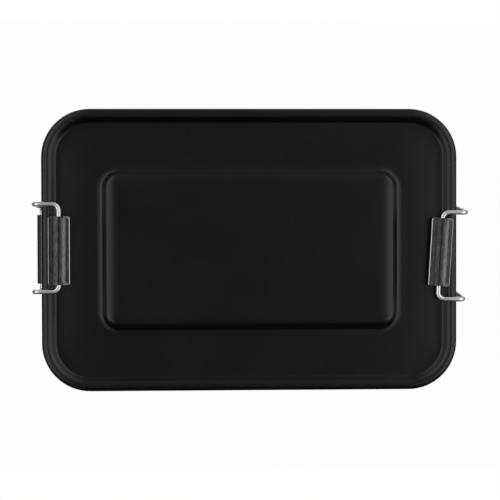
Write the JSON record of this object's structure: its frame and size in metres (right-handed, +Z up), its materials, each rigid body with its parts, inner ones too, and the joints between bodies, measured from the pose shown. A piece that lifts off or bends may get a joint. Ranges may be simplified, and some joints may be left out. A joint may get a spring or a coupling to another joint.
{
  "type": "metal lunch box",
  "caption": "Drawn metal lunch box with rounded corners, a lift-off lid with raised rim and panel, and wire-bail clips with folded steel grips at its ends.",
  "frame": {"origin": "middle of the tub's flat base, on the surface it stands on", "axes": "+X along the long side, from the left clip to the right clip, +Y across the box, +Z up through the lid"},
  "size_m": [0.1804, 0.1166, 0.063],
  "materials": {
    "black_coat": "satin",
    "spring_wire": "polished",
    "grip_steel": "satin",
    "seal_rubber": "matte"
  },
  "bodies": {
    "tub": {"tub": "black_coat", "left_bracket": "black_coat", "right_bracket": "black_coat", "left_bracket_rivet_front": "black_coat", "left_bracket_rivet_rear": "black_coat", "right_bracket_rivet_front": "black_coat", "right_bracket_rivet_rear": "black_coat"},
    "lid": {"lid": "black_coat", "lid_seal": "seal_rubber"},
    "left_bail": {"left_bail": "spring_wire"},
    "right_bail": {"right_bail": "spring_wire"},
    "left_grip": {"left_grip": "grip_steel"},
    "right_grip": {"right_grip": "grip_steel"}
  },
  "joints": [
    {"name": "lid_lift", "type": "slide", "parent": "tub", "child": "lid", "axis": [0, 0, 1], "range_m": [0, 0.012]},
    {"name": "left_bail_swing", "type": "hinge", "parent": "tub", "child": "left_bail", "pos_m": [-0.0868, 0, 0.038], "axis": [0, -1, 0], "range_deg": [0, 170]},
    {"name": "right_bail_swing", "type": "hinge", "parent": "tub", "child": "right_bail", "pos_m": [0.0868, 0, 0.038], "axis": [0, 1, 0], "range_deg": [0, 170]},
    {"name": "left_grip_turn", "type": "hinge", "parent": "left_bail", "child": "left_grip", "pos_m": [-0.0787, 0, 0.0614], "axis": [0, 1, 0], "range_deg": [0, 30]},
    {"name": "right_grip_turn", "type": "hinge", "parent": "right_bail", "child": "right_grip", "pos_m": [0.0788, -0.0023, 0.0614], "axis": [-0.061, -0.9981, 0], "range_deg": [0, 30]}
  ],
  "couplings": [
    {"joint": "left_bail_swing", "follows": "lid_lift", "rad_per_m": 247.25},
    {"joint": "right_bail_swing", "follows": "lid_lift", "rad_per_m": 247.25}
  ]
}
